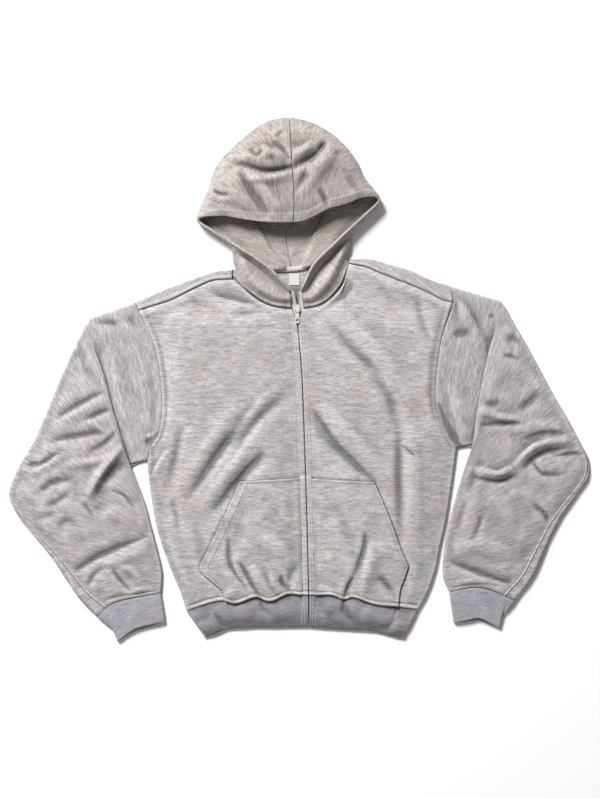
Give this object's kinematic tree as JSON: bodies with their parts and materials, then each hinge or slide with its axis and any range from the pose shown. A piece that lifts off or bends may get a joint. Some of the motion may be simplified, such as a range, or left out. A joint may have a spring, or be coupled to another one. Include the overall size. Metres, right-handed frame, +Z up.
{
  "type": "zip up hoodie",
  "caption": "Boxy long-sleeved zip up hoodie with kangaroo pocket halves, rib cuffs and waistband, laid flat on its back with the hood opened out above.",
  "frame": {"origin": "middle of the laid out garment's outline, on the surface it lies on", "axes": "+X to the wearer's left, +Y from the hem towards the hood, +Z up from the surface it lies on"},
  "size_m": [0.9838, 0.8898, 0.042],
  "materials": {
    "fleece": "brushed-back cotton fleece, fine jersey face, greyish lilac heather",
    "rib": "1x1 cotton rib, greyish lilac heather",
    "tape": "woven off-white tape and label, matt",
    "zip_metal": "white painted die-cast zinc"
  },
  "bodies": {
    "garment": {"back": "fleece", "front_right": "fleece", "front_left": "fleece", "pocket_right": "fleece", "pocket_left": "fleece", "sleeve_right_top": "fleece", "sleeve_right_under": "fleece", "sleeve_left_top": "fleece", "sleeve_left_under": "fleece", "cuff_right": "rib", "cuff_left": "rib", "waistband": "rib", "hood_right": "fleece", "hood_left": "fleece", "zip_tape_right": "tape", "zip_tape_left": "tape", "zip_slider": "zip_metal", "neck_tape": "fleece", "neck_label": "tape"},
    "zip_pull": {"zip_pull": "zip_metal"}
  },
  "joints": [
    {"name": "zip_pull_hinge", "type": "hinge", "parent": "garment", "child": "zip_pull", "pos_m": [-0.0025, 0.11715, 0.0089], "axis": [-1, 0, 0], "range_deg": [0, 150]}
  ]
}
